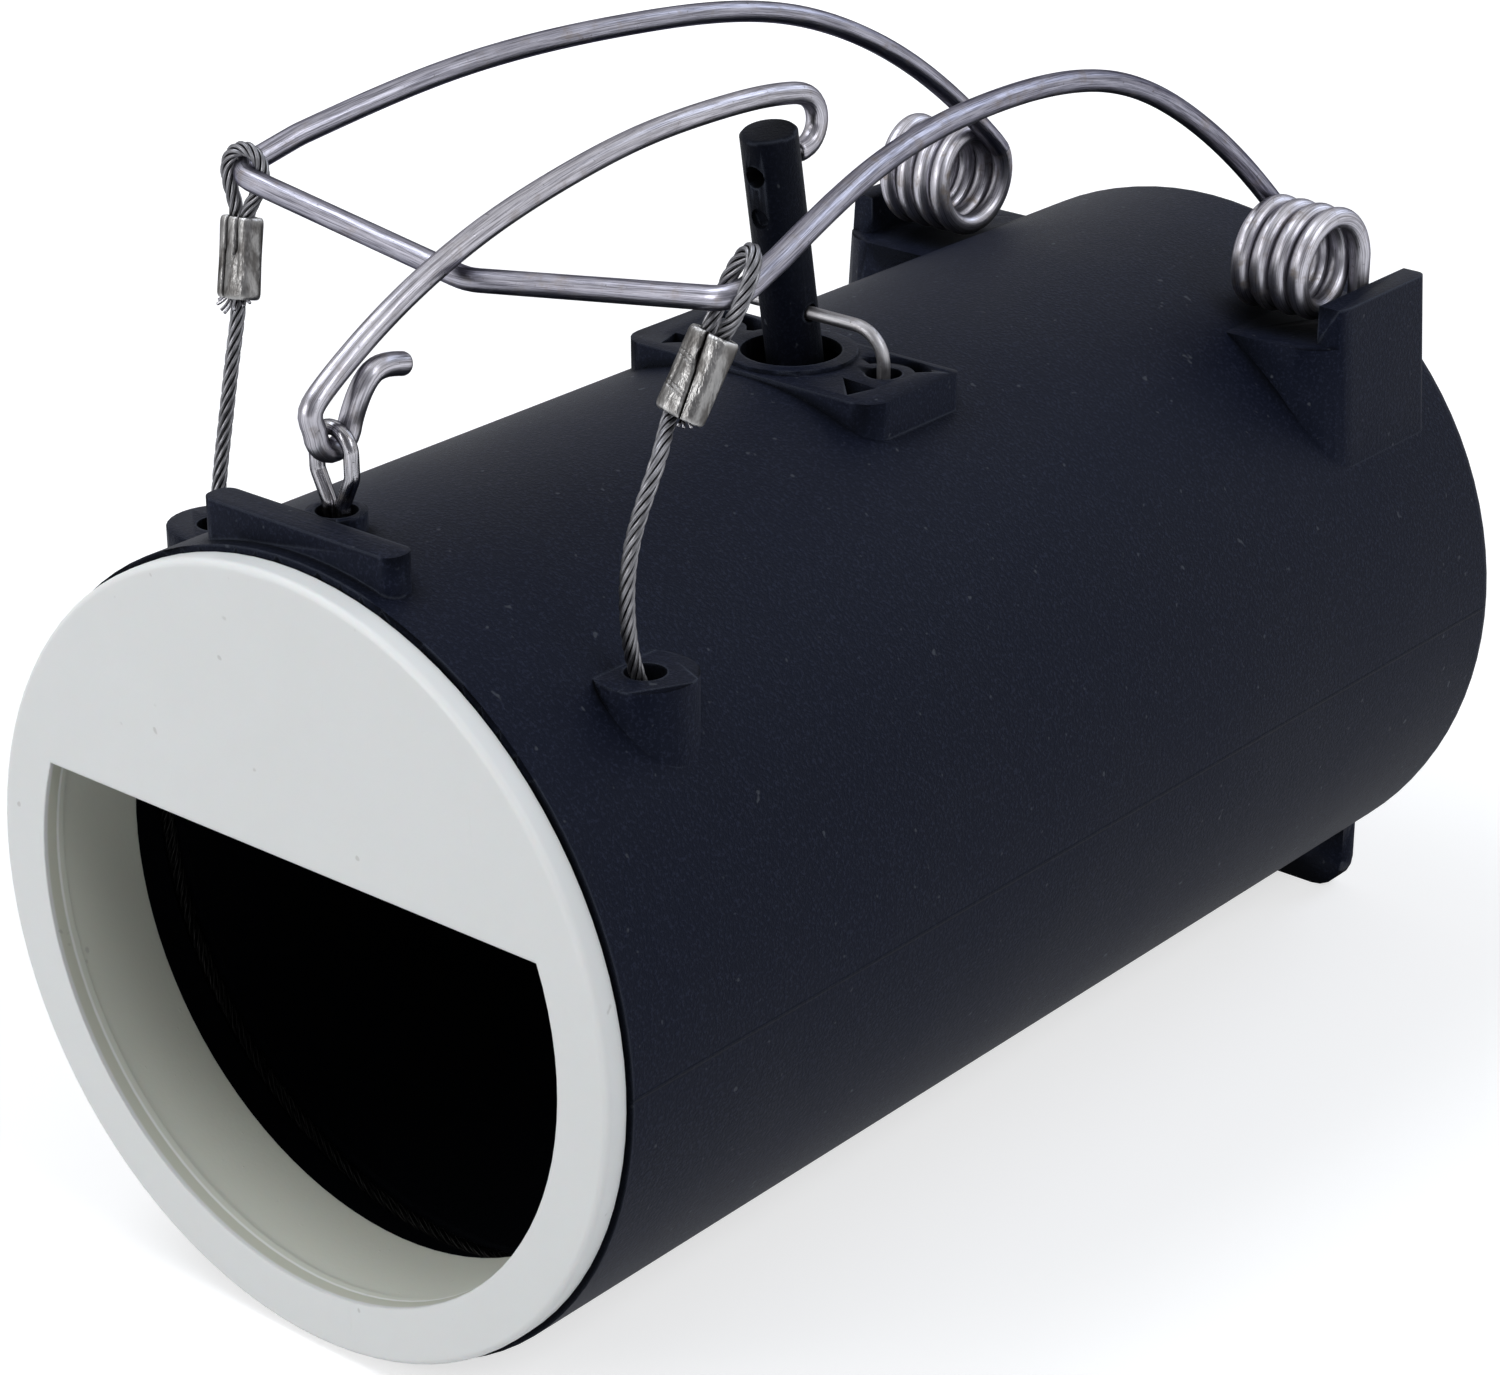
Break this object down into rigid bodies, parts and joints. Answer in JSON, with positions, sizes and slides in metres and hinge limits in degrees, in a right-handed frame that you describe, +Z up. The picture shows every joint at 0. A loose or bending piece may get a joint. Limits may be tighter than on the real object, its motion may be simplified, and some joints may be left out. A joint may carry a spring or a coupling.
{
  "type": "tube snare trap",
  "caption": "Black tube trap for burrowing animals in its set position, with a white entrance ring, a torsion spring with a wire snare, a wire latch and a trigger post.",
  "frame": {"origin": "middle of the footprint on the ground plane that the tube and its foot stand on", "axes": "+Z up, +Y from the entrance towards the closed back end, +X to the right seen from the entrance"},
  "size_m": [0.0824, 0.1508, 0.1145],
  "materials": {
    "black_plastic": "satin moulded plastic, black with a blue cast",
    "white_plastic": "satin moulded plastic, off-white",
    "spring_steel": "drawn wire, satin, with faint brown mottling",
    "wire_rope": "galvanised strands",
    "ferrule_metal": "crimped, satin"
  },
  "bodies": {
    "trap": {"tube_body": "black_plastic", "front_ring": "white_plastic", "pivot_staple": "spring_steel", "anchor_eye": "spring_steel", "spring_coil_left": "spring_steel", "spring_coil_right": "spring_steel", "cable_run_left": "wire_rope", "cable_run_right": "wire_rope", "snare_noose": "wire_rope"},
    "spring": {"spring_bail": "spring_steel", "cable_loop_left": "wire_rope", "cable_loop_right": "wire_rope", "ferrule_left": "ferrule_metal", "ferrule_right": "ferrule_metal"},
    "latch": {"latch_arm": "spring_steel"},
    "trigger": {"trigger_post": "black_plastic"}
  },
  "joints": [
    {"name": "spring_swing", "type": "hinge", "parent": "trap", "child": "spring", "pos_m": [0, 0.0561, 0.08409], "axis": [-1, 0, 0], "range_deg": [0, 30], "deforming": ["spring_coil_left", "spring_coil_right", "cable_run_left", "cable_run_right", "snare_noose"]},
    {"name": "latch_swing", "type": "hinge", "parent": "trap", "child": "latch", "pos_m": [-0.0008, -0.0654, 0.0929], "axis": [1, 0, 0], "range_deg": [0, 120]},
    {"name": "trigger_tilt", "type": "hinge", "parent": "trap", "child": "trigger", "pos_m": [-0.0008, -0.0004, 0.0875], "axis": [1, 0, 0], "range_deg": [0, 5]}
  ],
  "couplings": [
    {"joint": "latch_swing", "follows": "spring_swing", "ratio": 4}
  ]
}
